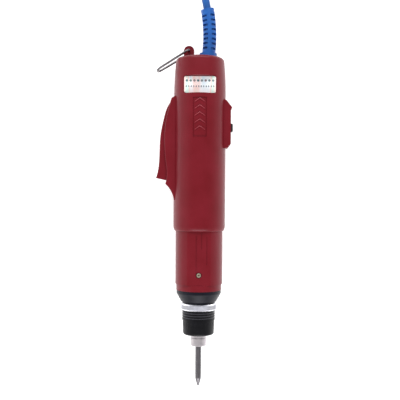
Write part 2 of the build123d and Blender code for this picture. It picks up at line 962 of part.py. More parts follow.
def housing():
    shape = housing_body()
    guard = plate(guard_outline(), guard_half_width)
    rims = guard.edges().filter_by_position(Axis.X, -60, -housing_radius - 0.8)
    rims = rims.filter_by(lambda e: abs(abs(e.center().Z) - guard_half_width) < 0.01)
    shape += fillet(rims, 1.0)
    frame = plate(frame_outline(), frame_half_width)
    shape += frame
    shape += plate(Pos(*ear_centre) * Circle(ear_radius), ear_thickness / 2)
    shape += block(
        ear_offset - ear_radius,
        ear_offset + ear_radius,
        housing_end - 1,
        ear_centre[1],
        -ear_thickness / 2,
        ear_thickness / 2,
    )
    outside = shape
    shape = shape - housing_cavity()
    inner = housing_radius - housing_wall
    ribs = tube(inner + 0.5, motor_radius + snug, motor_end - 3 - clamp_rib_width, motor_end - 3)
    groove_floor = inner - snug - spigot_groove_depth
    low = spigot_groove_start + free_gap / 2
    ribs += tube(inner + 0.5, groove_floor + snug, low, low + clamp_rib_width)
    for place in (board_start + 4, board_end - 6):
        for side in (-1, 1):
            rib = block(-2.4, 2.4, place, place + 2, *sorted((side * 11.0, side * 16.5)))
            groove = board_half_width + snug
            half = board_thickness / 2 + snug
            ribs += rib - block(-half, half, place - 1, place + 3, *sorted((side * 10.0, side * groove)))
    for x, y in screw_places():
        ribs += post(case_boss_radius, x, y, -housing_radius, housing_radius)
    shape += ribs & outside
    slot_low, slot_high = housing_end - guard_slot_foot_setback, housing_end - guard_slot_top_setback
    slot = block(-40, -9, slot_low, slot_high, -guard_slot_half_width, guard_slot_half_width)
    shape -= slot
    x, y = lever_pivot
    pin_half = lever_pin_half_length + snug
    shape -= post(lever_pin_radius + snug, x, y, -pin_half, pin_half)
    shape -= post(bail_wire_radius + running, *ear_centre, -ear_radius, ear_radius)
    pocket = block(
        pocket_floor,
        frame_ridge + 1,
        knob_place - pocket_half_length,
        knob_place + pocket_half_length,
        -pocket_half_width,
        pocket_half_width,
    )
    stem_half = knob_stem / 2 + free_gap
    stem_run = stem_half + knob_travel
    stem_slot = block(5, frame_ridge, knob_place - stem_run, knob_place + stem_run, -stem_half, stem_half)
    shape -= [pocket, stem_slot]
    shape += label_recess(label_margin + label_backing, label_floor - label_backing) & outside
    shape -= label_recess(label_margin, label_floor)
    shape -= crest_recess()
    neck = relief_neck_radius + snug
    shape -= disc(neck, housing_end - top_wall - 1, housing_end + 1, x=relief_offset)
    return shape


def screw_places():
    ends = (spigot_end + case_screw_low_gap, housing_end - case_screw_top_setback)
    return [(x, y) for y in ends for x in (-case_screw_offset, case_screw_offset)]


def head_floor():
    return -sqrt(housing_radius**2 - case_screw_offset**2) + 2.4


def make_housing_front():
    shape = split(housing(), bisect_by=Plane.XY, keep=Keep.TOP)
    tip = head_floor() + case_screw_length + free_gap
    for x, y in screw_places():
        shape -= post(case_screw_radius + snug, x, y, -1, tip)
    return shape


def make_housing_back():
    shape = split(housing(), bisect_by=Plane.XY, keep=Keep.BOTTOM)
    x = -housing_radius + spring_post_depth
    y = lever_spring_place
    spring_post = block(x, x + 1.5, y - 2.5, y + 2.5, -14.5, 2.5)
    shape += spring_post
    for x, y in screw_places():
        shape -= post(case_screw_radius + free_gap / 2, x, y, -beyond, 1)
        shape -= post(case_screw_head_radius + free_gap, x, y, -beyond, head_floor())
    return shape


def make_housing_screws():
    screws = []
    for x, y in screw_places():
        seat = head_floor()
        screw = post(case_screw_radius, x, y, seat, seat + case_screw_length)
        screw += post(case_screw_head_radius, x, y, seat - case_screw_head_height, seat)
        screws.append(screw - post(0.6, x, y, seat - 3, seat - 0.5))
    return joined(screws)


def make_label():
    outline = RectangleRounded(label_width, label_height, label_corner)
    return extrude(Pos(0, label_place, label_floor) * outline, label_thickness)


def make_suspension_bail():
    lean = Plane(
        origin=(*ear_centre, 0),
        x_dir=(-cos(radians(bail_lean)), -sin(radians(bail_lean)), 0),
        z_dir=(sin(radians(bail_lean)), -cos(radians(bail_lean)), 0),
    )
    corners = [
        (0, 0),
        (0, bail_half_width),
        (bail_length, bail_tip_half_width),
        (bail_length, 0),
    ]
    path = lean * FilletPolyline(*corners, radius=(2.2, 3.6))
    half = sweep(Plane(path @ 0, z_dir=path % 0) * Circle(bail_wire_radius), path)
    return half + mirror(half, Plane.XY)


# Trigger lever
def lever_outline():
    proud = (
        (2.7, 30.4),
        (4.5, 33.4),
        (6.3, 38.8),
        (7.6, 44.3),
        (9.0, 52.4),
        (9.6, 63.3),
        (9.9, 70.7),
        (10.4, 75.2),
    )
    back = [(-housing_radius - p, housing_end - s) for p, s in proud]
    tip = (-housing_radius - 11.9, housing_end - 81.3)
    heel = (-housing_radius - 5.6, housing_end - 82.6)
    inner_low = (-housing_radius - 3.6, housing_end - 82.6)
    inner_high = (lever_pivot_x + 2.3, lever_pivot[1] - 1.5)
    top = (lever_pivot_x, lever_pivot[1] + 1.0)
    return make_face([
        Spline(*back, tip),
        Line(tip, heel),
        Line(heel, inner_low),
        Line(inner_low, inner_high),
        Line(inner_high, top),
        Line(top, back[0]),
    ])


def make_trigger_lever():
    outline = lever_outline()
    shape = plate(outline, lever_half_width)
    rims = shape.edges().filter_by(lambda e: abs(abs(e.center().Z) - lever_half_width) < 0.01)
    shape = fillet(rims.sort_by(Axis.X)[:2], 0.8)
    inside = plate(Pos(lever_wall + 1.2, 0) * outline, lever_half_width - lever_wall)
    keep_low, keep_high = housing_end - 81.0, lever_pivot[1] - 4.0
    shape -= inside & block(-40, 0, keep_low, keep_high, -10, 10)
    x, y = lever_pivot
    foot_start = start_switch_place - 2
    button_top = -board_thickness / 2 - start_switch_height - start_button_reach
    back_at_foot = -housing_radius - 7.5
    shape += block(back_at_foot, button_top - free_gap, foot_start, foot_start + 4, -2.1, 2.1)
    seat = -housing_radius + lever_spring_seat
    low, high = lever_spring_place - 2.3, lever_spring_place + 2.3
    shape += block(back_at_foot, seat, low, high, -2.1, 2.1)
    shape += plate(Pos(x, y) * Circle(2.5), lever_half_width)
    return shape - post(lever_pin_radius + running, x, y, -10, 10)


def make_lever_pin():
    x, y = lever_pivot
    return post(lever_pin_radius, x, y, -lever_pin_half_length, lever_pin_half_length)


def make_lever_spring():
    start = -housing_radius + lever_spring_seat + face_gap
    end = -housing_radius + spring_post_depth - face_gap
    wire = lever_spring_wire
    rise = end - start - 2 * wire
    path = Plane(origin=(start + wire, lever_spring_place, 0), x_dir=(0, 1, 0), z_dir=(1, 0, 0)) * Helix(
        rise / 4, rise, lever_spring_radius - wire
    )
    return sweep(Plane(path @ 0, z_dir=path % 0) * Circle(wire), path)


# Circuit board and switches
def make_circuit_board():
    half = board_thickness / 2
    end = board_end
    shape = block(-half, half, board_start, end, -board_half_width, board_half_width)
    chip_place = end - 14
    shape += block(half, half + 2, chip_place - 4, chip_place + 4, -7, 1)
    for z in (-6, 4):
        can = Plane(origin=(-half, end - 10, z), x_dir=(0, 1, 0), z_dir=(-1, 0, 0)) * Circle(3)
        shape += extrude(can, 8)
    return shape


def make_start_switch():
    face = -board_thickness / 2
    half = start_switch_length / 2
    shape = block(
        face - start_switch_height,
        face,
        start_switch_place - half,
        start_switch_place + half,
        -switch_half_width,
        switch_half_width,
    )
    bore = Plane(origin=(face - 1.1, start_switch_place, 0), x_dir=(0, 1, 0), z_dir=(-1, 0, 0))
    return shape - extrude(bore * Circle(start_button_radius + running), 20)


def make_start_button():
    face = -board_thickness / 2 - start_switch_height
    stem = Plane(origin=(face + 2.8, start_switch_place, 0), x_dir=(0, 1, 0), z_dir=(-1, 0, 0))
    return extrude(stem * Circle(start_button_radius), start_button_reach + 2.8)


def make_reversing_switch():
    face = board_thickness / 2
    half = reversing_switch_length / 2
    top = face + reversing_switch_height
    shape = block(face, top, knob_place - half, knob_place + half, -switch_half_width, switch_half_width)
    stem_half = knob_stem / 2 + free_gap
    run = stem_half + knob_travel
    return shape - block(top - 2.2, top + 1, knob_place - run, knob_place + run, -stem_half, stem_half)


def make_reversing_knob():
    half = knob_length / 2
    cap_low = pocket_floor + free_gap / 2
    cap = block(cap_low, knob_top, knob_place - half, knob_place + half, -knob_half_width, knob_half_width)
    cap = chamfer(cap.faces().sort_by(Axis.X)[-1].edges(), 0.4)
    reach = board_thickness / 2 + reversing_switch_height - 2.0
    stem = knob_stem / 2
    return cap + block(reach, cap_low + 0.1, knob_place - stem, knob_place + stem, -stem, stem)


# Strain relief, moulded round the cord
def relief_path():
    bend = relief_lean - relief_far_lean
    radius = relief_length / radians(bend)
    start = (relief_offset, housing_end + relief_radius * sin(radians(relief_lean)) + face_gap)
    lean = radians(relief_lean)
    return JernArc(start, (sin(lean), cos(lean)), radius, bend)


def make_strain_relief():
    path = relief_path()
    start = Plane(path @ 0, z_dir=path % 0)
    shape = sweep(start * Circle(relief_radius), path)
    core = sweep(start * Circle(relief_core_radius), path)
    slots = []
    for row in range(relief_slot_rows):
        share = (relief_slot_start + relief_slot_pitch * row) / relief_length
        place = Plane(origin=path @ share, x_dir=(0, 0, 1), z_dir=path % share)
        for level in (-1, 1):
            for side in (-1, 1):
                height = level * (relief_rail_half_width + relief_radius / 2)
                middle = side * (relief_web_half_width + relief_radius / 2)
                slots.append(place * Pos(height, middle, 0) * Box(relief_radius, relief_radius, relief_slot_width))
    shape = shape - slots + core
    flange = housing_end + relief_flange_height
    shape += disc(relief_flange_radius, housing_end, flange, x=relief_offset)
    inner = housing_end - top_wall
    shape += disc(relief_neck_radius, inner, housing_end, x=relief_offset)
    shape += disc(relief_flange_radius, inner - 1.5, inner, x=relief_offset)
    shape -= block(-40, 40, inner - 9, inner - 1.5, -20, 20)
    return shape


# Cord: a free stretch, then a tied coil of flat wound turns that runs out into the plug
cord_height = floor + tie_thickness + face_gap + cord_radius
layer_pitch = 2 * cord_radius
lead_route = (
    (4.68, 228.18, 0.0),
    (1.76, 243.91, 0.0),
    (-2.84, 255.17, -4.0),
    (-8.50, 262.84, -10.05),
    (-13.81, 273.80, -14.35),
    (-17.91, 285.08, -14.35),
)
coil_centre = (7.2, 315.5)
plug_place = (coil_centre[0] + coil_turn_radius, 284.5, cord_height + layer_pitch)


def cord_tube(name, route):
    points = [Vector(*p) for p in route]
    radii = []
    for before, corner, after in zip(points, points[1:], points[2:]):
        arriving, leaving = corner - before, after - corner
        half_turn = radians(arriving.get_angle(leaving)) / 2
        radii.append(0.45 * min(arriving.length, leaving.length) / tan(half_turn))
    path = FilletPolyline(*points, radius=radii)
    shape = sweep(Plane(path @ 0, z_dir=path % 0) * Circle(cord_radius), path)
    expected = pi * cord_radius**2 * path.length
    print(name, "bend radii", [round(r, 1) for r in radii], "length", round(path.length, 1))
    print(name, "volume", round(shape.volume, 1), "section times length", round(expected, 1))
    return shape


def coil_section(grow):
    width = layer_pitch * coil_columns + 2 * (coil_slack + grow)
    height = layer_pitch * coil_layers + coil_slack + 2 * grow
    across_turns = coil_turn_radius - layer_pitch * (coil_columns - 1) / 2
    middle = floor + tie_thickness - grow + height / 2
    return Pos(across_turns, middle) * RectangleRounded(width, height, cord_radius + grow)


def coil_ring(grow, turn, start):
    axis = Axis((*coil_centre, 0), (0, 0, 1))
    plane = Plane(
        origin=(*coil_centre, 0),
        x_dir=(cos(start), sin(start), 0),
        z_dir=(sin(start), -cos(start), 0),
    )
    return revolve(plane * coil_section(grow), axis=axis, revolution_arc=turn)


def make_cord_coil():
    turn = radians(coil_entry_angle)
    entry = Plane(origin=lead_route[-1], z_dir=(sin(turn), -cos(turn), 0))
    shape = coil_ring(0, 360, 0) + extrude(entry * Circle(cord_radius), coil_stub)
    x, rear, z = plug_place
    return shape + disc(cord_radius, rear, coil_centre[1], x=x, z=z)


def make_coil_tie():
    return coil_ring(tie_thickness, tie_angle, radians(-60)) - coil_ring(0, 360, 0)


def plug_turned(*outline):
    x, _, z = plug_place
    return Pos(x, 0, z) * turned(*outline)


def make_plug_body():
    rear = plug_place[1]
    front = rear - plug_body_length
    insert = plug_shell_radius - plug_shell_wall
    shape = plug_turned(
        (0, rear),
        (cord_radius + 0.8, rear),
        (plug_tail_radius, rear - 3),
        (plug_tail_radius + 0.4, rear - 9),
        (plug_radius - 0.8, rear - 12),
        (plug_radius - 0.8, rear - 25),
        (plug_radius, rear - 26),
        (plug_radius, front + 0.6),
        (plug_radius - 0.6, front),
        (insert, front),
        (insert, front - plug_insert_depth),
        (0, front - plug_insert_depth),
    )
    pins = plug_pin_solids(snug)
    return shape - pins


def plug_pin_solids(grow):
    x, rear, z = plug_place
    front = rear - plug_body_length
    pins = []
    for k in range(5):
        turn = radians(45 * k)
        px, pz = x + plug_pin_circle * cos(turn), z + plug_pin_circle * sin(turn)
        pins.append(disc(plug_pin_radius + grow, front - plug_pin_length, front - 0.5, px, pz))
    return pins


def make_plug_shell():
    front = plug_place[1] - plug_body_length
    return plug_turned(
        (plug_shell_radius - plug_shell_wall, front),
        (plug_shell_radius, front),
        (plug_shell_radius, front - plug_shell_length),
        (plug_shell_radius - plug_shell_wall, front - plug_shell_length),
    )


nodes = {
    "bit": make_bit,
    "bit_sleeve": make_bit_sleeve,
    "sleeve_spring": make_sleeve_spring,
    "lock_ball": make_lock_ball,
    "retaining_clip": make_retaining_clip,
    "spindle": make_spindle,
    "torque_nut": make_torque_nut,
    "spring_seat": make_spring_seat,
    "clutch_spring": make_clutch_spring,
    "nose_cone": make_nose_cone,
    "lock_ring": make_lock_ring,
    "sleeve_end_band": make_end_band,
    "thrust_washer": make_thrust_washer,
    "clutch_balls": make_clutch_balls,
    "ball_cage": make_ball_cage,
    "brake_rod": make_brake_rod,
    "spindle_bearings": lambda: joined([bearing(bearing_a), bearing(bearing_b)]),
    "ring_gear": make_ring_gear,
    "output_carrier": make_output_carrier,
    "input_carrier": make_input_carrier,
    "motor_pinion": make_motor_pinion,
    "gear_case": make_gear_case,
    "motor_mount": make_motor_mount,
    "motor_can": make_motor_can,
    "motor_magnets": make_motor_magnets,
    "motor_rotor": make_motor_rotor,
    "motor_shaft": make_motor_shaft,
    "motor_end_cap": make_motor_end_cap,
    "motor_bushes": make_motor_bushes,
    "motor_brushes": make_motor_brushes,
    "brake_switch": make_brake_switch,
    "gear_sleeve": make_gear_sleeve,
    "sleeve_screws": make_sleeve_screws,
    "housing_front": make_housing_front,
    "housing_back": make_housing_back,
    "housing_screws": make_housing_screws,
    "label": make_label,
    "suspension_bail": make_suspension_bail,
    "trigger_lever": make_trigger_lever,
    "lever_pin": make_lever_pin,
    "lever_spring": make_lever_spring,
    "circuit_board": make_circuit_board,
    "start_switch": make_start_switch,
    "start_button": make_start_button,
    "reversing_switch": make_reversing_switch,
    "reversing_knob": make_reversing_knob,
    "strain_relief": make_strain_relief,
    "cord": lambda: cord_tube("cord", lead_route),
    "cord_coil": make_cord_coil,
    "coil_tie": make_coil_tie,
    "plug_body": make_plug_body,
    "plug_shell": make_plug_shell,
    "plug_pins": lambda: joined(plug_pin_solids(0)),
}
for number in range(planet_count):
    nodes[f"output_planet_{number + 1}"] = lambda k=number: planet(output_planets, output_planet_width, k)
    nodes[f"input_planet_{number + 1}"] = lambda k=number: planet(input_planets, input_planet_width, k)

for name, make in nodes.items():
    export_step(make(), f"parts/{name}.step")
print(len(nodes), "nodes")
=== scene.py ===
import math

import bpy
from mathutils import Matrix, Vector


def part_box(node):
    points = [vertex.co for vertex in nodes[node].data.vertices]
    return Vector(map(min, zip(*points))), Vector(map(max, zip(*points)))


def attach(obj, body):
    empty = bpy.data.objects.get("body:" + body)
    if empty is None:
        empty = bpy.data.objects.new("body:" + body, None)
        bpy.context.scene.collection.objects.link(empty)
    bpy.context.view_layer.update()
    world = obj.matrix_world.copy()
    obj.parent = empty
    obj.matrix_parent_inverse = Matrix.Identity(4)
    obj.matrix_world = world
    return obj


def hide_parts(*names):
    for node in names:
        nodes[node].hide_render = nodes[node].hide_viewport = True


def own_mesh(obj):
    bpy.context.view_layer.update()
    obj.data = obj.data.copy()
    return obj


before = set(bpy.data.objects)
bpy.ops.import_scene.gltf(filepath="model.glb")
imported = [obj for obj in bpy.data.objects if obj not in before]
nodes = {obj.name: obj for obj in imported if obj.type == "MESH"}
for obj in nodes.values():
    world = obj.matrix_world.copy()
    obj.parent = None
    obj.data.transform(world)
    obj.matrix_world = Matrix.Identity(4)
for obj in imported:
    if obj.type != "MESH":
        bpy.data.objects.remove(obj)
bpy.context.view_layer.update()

# An electric torque screwdriver lies on its back on a white table, seen straight from above.
# Metres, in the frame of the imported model: the bit points along -Y and the label faces +Z.
mm = 0.001
hair = 0.001 * mm  # two points nearer than this are one


# Small tools.

def hexToLinear(text):
    channels = [int(text[i:i + 2], 16) / 255 for i in (1, 3, 5)]
    linear = [c / 12.92 if c <= 0.04045 else ((c + 0.055) / 1.055) ** 2.4 for c in channels]
    return (*linear, 1.0)


def addNode(tree, kind, settings=(), links=()):
    # keys are socket names or numbers, or else attributes of the node
    node = tree.nodes.new(kind)
    for key, value in dict(settings).items():
        if isinstance(key, int) or key in node.inputs:
            node.inputs[key].default_value = value
        else:
            setattr(node, key, value)
    for key, source in dict(links).items():
        tree.links.new(source, node.inputs[key])
    return node


def newMaterial(name, settings):
    material = bpy.data.materials.new(name)
    material.use_nodes = True
    tree = material.node_tree
    tree.nodes.clear()
    shader = addNode(tree, "ShaderNodeBsdfPrincipled", settings)
    addNode(tree, "ShaderNodeOutputMaterial", links={"Surface": shader.outputs["BSDF"]})
    place = addNode(tree, "ShaderNodeTexCoord").outputs["Object"]
    return material, tree, shader, place


def perMetre(size):
    # scale of a texture whose features are this many millimetres apart
    return 1000 / size


def stretched(tree, place, along):
    # draws a pattern out along the axes that get a small factor
    return addNode(tree, "ShaderNodeMapping", {"Scale": along}, {"Vector": place}).outputs["Vector"]


def setStops(ramp, stops, interpolation="LINEAR"):
    # each stop is a place with a hex colour, or with a plain number where the ramp makes a mask
    ramp.color_ramp.interpolation = interpolation
    for k, (place, value) in enumerate(stops):
        stop = ramp.color_ramp.elements[k] if k < 2 else ramp.color_ramp.elements.new(place)
        stop.position = place
        stop.color = hexToLinear(value) if isinstance(value, str) else (value, value, value, 1.0)
    return ramp.outputs["Color"]


def tintBetween(tree, shader, amount, tints):
    # noise seldom leaves the range from 0.3 to 0.7, so the two tints stand at its ends
    ramp = addNode(tree, "ShaderNodeValToRGB", links={"Fac": amount})
    tree.links.new(setStops(ramp, ((0.3, tints[0]), (0.7, tints[1]))), shader.inputs["Base Color"])


def varyRoughness(tree, shader, amount, span):
    spread = addNode(tree, "ShaderNodeMapRange", {"To Min": span[0], "To Max": span[1]}, {"Value": amount})
    tree.links.new(spread.outputs["Result"], shader.inputs["Roughness"])


def raiseSurface(tree, shader, height, depth, strength):
    bump = addNode(tree, "ShaderNodeBump", {"Strength": strength, "Distance": depth * mm}, {"Height": height})
    tree.links.new(bump.outputs["Normal"], shader.inputs["Normal"])


def paintOver(material, mask, tint):
    # lays one more colour over a finished material where mask is 1
    tree = material.node_tree
    shader = next(n for n in tree.nodes if n.type == "BSDF_PRINCIPLED")
    under = shader.inputs["Base Color"].links[0].from_socket
    mixed = addNode(tree, "ShaderNodeMix", {"data_type": "RGBA", 7: hexToLinear(tint)}, {0: mask, 6: under})
    tree.links.new(mixed.outputs[2], shader.inputs["Base Color"])


# Materials. Patterns and depths are in millimetres.

def mouldedAbs(name, tints, shine):
    # ABS from a spark-eroded mould: satin, with a fine even grain and soft broad highlights.
    # The real grain of 0.1 mm is too fine to show, so it is drawn at 0.45 mm.
    look = {"cloud": 14.0, "grain": 0.45, "depth": 0.03, "strength": 0.5, "roughness": (0.32, 0.40),
            "glint": "#F4EAF4"}
    material, tree, shader, place = newMaterial(name, {
        "IOR": 1.54, "Specular IOR Level": shine, "Specular Tint": hexToLinear(look["glint"])})
    cloud = addNode(tree, "ShaderNodeTexNoise", {"Scale": perMetre(look["cloud"]), "Detail": 3.0},
                    {"Vector": place}).outputs["Fac"]
    grain = addNode(tree, "ShaderNodeTexNoise", {"Scale": perMetre(look["grain"]), "Detail": 2.0},
                    {"Vector": place}).outputs["Fac"]
    tintBetween(tree, shader, cloud, tints)
    varyRoughness(tree, shader, cloud, look["roughness"])
    raiseSurface(tree, shader, grain, look["depth"], look["strength"])
    return material


def anodised(name, tints):
    # Aluminium turned on a lathe and dyed: deep, slightly blue, with faint turning rings.
    # The rings of 0.08 mm are drawn at 0.4 mm.
    look = {"cloud": 5.0, "ring": 0.4, "depth": 0.02, "strength": 0.35, "roughness": (0.30, 0.42)}
    material, tree, shader, place = newMaterial(name, {"IOR": 1.6, "Specular IOR Level": 0.12})
    cloud = addNode(tree, "ShaderNodeTexNoise", {"Scale": perMetre(look["cloud"])},
                    {"Vector": place}).outputs["Fac"]
    rings = addNode(tree, "ShaderNodeTexNoise", {"Scale": perMetre(look["ring"]), "Detail": 1.0},
                    {"Vector": stretched(tree, place, (0.02, 1.0, 0.02))}).outputs["Fac"]
    tintBetween(tree, shader, cloud, tints)
    varyRoughness(tree, shader, rings, look["roughness"])
    raiseSurface(tree, shader, rings, look["depth"], look["strength"])
    return material


# The nut's grooves divide this stretch of the drive axis evenly; tint is a painted highlight laid along them.
nutGrooves = {"low": 17.65, "high": 24.4, "count": 3, "width": 0.55, "tint": "#5A5A62"}


def paintGrooveHighlights(material):
    # Painted highlight: paler lines are painted into the colour along the grooves, standing in for the light
    # their edges catch.
    plan = nutGrooves
    tree = material.node_tree
    place = addNode(tree, "ShaderNodeTexCoord").outputs["Object"]
    height = addNode(tree, "ShaderNodeSeparateXYZ", links={"Vector": place}).outputs["Y"]
    share = addNode(tree, "ShaderNodeMapRange", {"From Min": plan["low"] * mm, "From Max": plan["high"] * mm},
                    {"Value": height}).outputs["Result"]
    half = plan["width"] / 2 / (plan["high"] - plan["low"])
    stops = [(0.0, 0)]
    for k in range(plan["count"]):
        centre = (k + 1) / (plan["count"] + 1)
        stops += [(centre - half, 1), (centre + half, 0)]
    ramp = addNode(tree, "ShaderNodeValToRGB", links={"Fac": share})
    paintOver(material, setStops(ramp, stops, "CONSTANT"), plan["tint"])


# The screws' place is along the drive axis; recess and rim are shares of the radius; tint is painted shade.
screwHead = {"place": 48.95, "radius": 1.7, "recess": 0.32, "rim": 0.84, "recessShade": 0.7, "tint": "#2E1B18"}


def paintScrewHeadShade(material):
    # Painted shade: the driver recess and the gap round the head are darkened in the colour, where shadow
    # falls.
    plan = screwHead
    tree = material.node_tree
    place = addNode(tree, "ShaderNodeTexCoord").outputs["Object"]
    centred = addNode(tree, "ShaderNodeMapping", {"Location": (0, -plan["place"] * mm, 0)}, {"Vector": place})
    flat = addNode(tree, "ShaderNodeVectorMath", {"operation": "MULTIPLY", 1: (1, 1, 0)},
                   {0: centred.outputs["Vector"]}).outputs["Vector"]
    reach = addNode(tree, "ShaderNodeVectorMath", {"operation": "LENGTH"}, {0: flat}).outputs["Value"]
    share = addNode(tree, "ShaderNodeMapRange", {"From Max": plan["radius"] * mm}, {"Value": reach})
    ramp = addNode(tree, "ShaderNodeValToRGB", links={"Fac": share.outputs["Result"]})
    stops = ((0.0, plan["recessShade"]), (plan["recess"], 0), (plan["rim"], 1))
    paintOver(material, setStops(ramp, stops, "CONSTANT"), plan["tint"])


def glassNylon():
    # Glass-filled nylon, moulded black: matt and even, a little mottled.
    look = {"tints": ("#08080A", "#101012"), "grain": 0.5, "depth": 0.03, "strength": 0.4,
            "roughness": (0.48, 0.62)}
    material, tree, shader, place = newMaterial("blackNylon", {"IOR": 1.53})
    grain = addNode(tree, "ShaderNodeTexNoise", {"Scale": perMetre(look["grain"]), "Detail": 3.0},
                    {"Vector": place}).outputs["Fac"]
    tintBetween(tree, shader, grain, look["tints"])
    varyRoughness(tree, shader, grain, look["roughness"])
    raiseSurface(tree, shader, grain, look["depth"], look["strength"])
    return material


def plated(name, tints, roughness, ring):
    # Nickel plate over turned steel: the lathe's rings run round the drive axis.
    look = {"cloud": 3.0, "depth": 0.01, "strength": 0.3}
    material, tree, shader, place = newMaterial(name, {"Metallic": 1.0})
    rings = addNode(tree, "ShaderNodeTexNoise", {"Scale": perMetre(ring), "Detail": 2.0},
                    {"Vector": stretched(tree, place, (0.03, 1.0, 0.03))}).outputs["Fac"]
    cloud = addNode(tree, "ShaderNodeTexNoise", {"Scale": perMetre(look["cloud"])},
                    {"Vector": place}).outputs["Fac"]
    tintBetween(tree, shader, cloud, tints)
    varyRoughness(tree, shader, rings, roughness)
    raiseSurface(tree, shader, rings, look["depth"], look["strength"])
    return material


def toolSteel():
    # Hardened steel, ground lengthwise and blued by its heat treatment: dark grey with faint streaks.
    look = {"tints": ("#575558", "#79767A"), "streak": 0.35, "depth": 0.01, "strength": 0.4,
            "roughness": (0.34, 0.48)}
    material, tree, shader, place = newMaterial("toolSteel", {"Metallic": 1.0})
    streak = addNode(tree, "ShaderNodeTexNoise", {"Scale": perMetre(look["streak"]), "Detail": 3.0},
                     {"Vector": stretched(tree, place, (1.0, 0.06, 1.0))}).outputs["Fac"]
    tintBetween(tree, shader, streak, look["tints"])
    varyRoughness(tree, shader, streak, look["roughness"])
    raiseSurface(tree, shader, streak, look["depth"], look["strength"])
    return material


innerFinishes = {
    "machinedSteel": {"tints": ("#8A8B8E", "#A3A4A7"), "metal": 1.0, "roughness": (0.28, 0.42), "grain": 0.5},
    "springWire": {"tints": ("#7C7D80", "#97989B"), "metal": 1.0, "roughness": (0.24, 0.36), "grain": 0.4},
    "turnedBrass": {"tints": ("#B08B45", "#C6A35A"), "metal": 1.0, "roughness": (0.25, 0.38), "grain": 0.4},
    "castAluminium": {"tints": ("#A9ABAD", "#BFC1C3"), "metal": 1.0, "roughness": (0.42, 0.58), "grain": 0.7},
    "woundRotor": {"tints": ("#6E4A2A", "#9A6437"), "metal": 0.8, "roughness": (0.35, 0.5), "grain": 0.5},
    "sinteredFerrite": {"tints": ("#2A2A2C", "#3A3A3D"), "metal": 0.2, "roughness": (0.55, 0.7),
                        "grain": 0.5},
}


def innerFinish(name):
    # What works inside the tool: an even finish with the grain of how each was made, from the smooth
    # drawn wire to the open skin of cast aluminium. The finest grain is drawn at 0.4 mm.
    look = innerFinishes[name]
    material, tree, shader, place = newMaterial(name, {"Metallic": look["metal"]})
    speck = addNode(tree, "ShaderNodeTexNoise", {"Scale": perMetre(look["grain"]), "Detail": 3.0},
                    {"Vector": place}).outputs["Fac"]
    tintBetween(tree, shader, speck, look["tints"])
    varyRoughness(tree, shader, speck, look["roughness"])
    raiseSurface(tree, shader, speck, depth=0.02, strength=0.4)
    return material


def boardLaminate():
    # Glass-fibre laminate under green solder mask: glossy, with the cloth's weave showing through.
    # The weave of 0.4 mm is drawn at 0.8 mm.
    look = {"tints": ("#0F4A2A", "#1A6B3C"), "weave": 0.8}
    material, tree, shader, place = newMaterial("boardLaminate", {"Roughness": 0.3, "IOR": 1.5})
    weave = addNode(tree, "ShaderNodeTexChecker", {"Scale": perMetre(look["weave"])}, {"Vector": place})
    tintBetween(tree, shader, weave.outputs["Fac"], look["tints"])
    return material


def softPvc(name, tints, roughness):
    # Plasticised PVC: smooth and slightly waxy, a little cloudy, with a soft uneven skin.
    look = {"cloud": 4.0, "grain": 0.6, "depth": 0.03, "strength": 0.4}
    material, tree, shader, place = newMaterial(name, {"IOR": 1.53, "Specular IOR Level": 0.35})
    cloud = addNode(tree, "ShaderNodeTexNoise", {"Scale": perMetre(look["cloud"]), "Detail": 3.0},
                    {"Vector": place}).outputs["Fac"]
    grain = addNode(tree, "ShaderNodeTexNoise", {"Scale": perMetre(look["grain"]), "Detail": 2.0},
                    {"Vector": place}).outputs["Fac"]
    tintBetween(tree, shader, cloud, tints)
    varyRoughness(tree, shader, cloud, roughness)
    raiseSurface(tree, shader, grain, look["depth"], look["strength"])
    return material


# The label's print: a row of round dots above a row of small ticks, both cut off at rowHalf.
# The film's stops are along its noise, and the dots step through their tints by tintStep.
labelPrint = {
    "band": 5.5, "film": ((0.36, "#C2E0F0"), (0.46, "#F2F4F8"), (0.54, "#F6D6D0"), (0.62, "#D6F0E6")),
    "dotPitch": 2.48, "dotRadius": 0.8, "dotRow": 2.6,
    "dotTints": ("#7F8C92", "#8C7F84", "#5F7A80", "#7C8E88"), "tintStep": 0.37,
    "tickPitch": 1.65, "tickHalfWidth": 0.34, "tickHalfHeight": 0.55, "tickRow": -1.2, "tickTint": "#66727A",
    "rowHalf": 9.9, "sparePitches": 50.0,
}


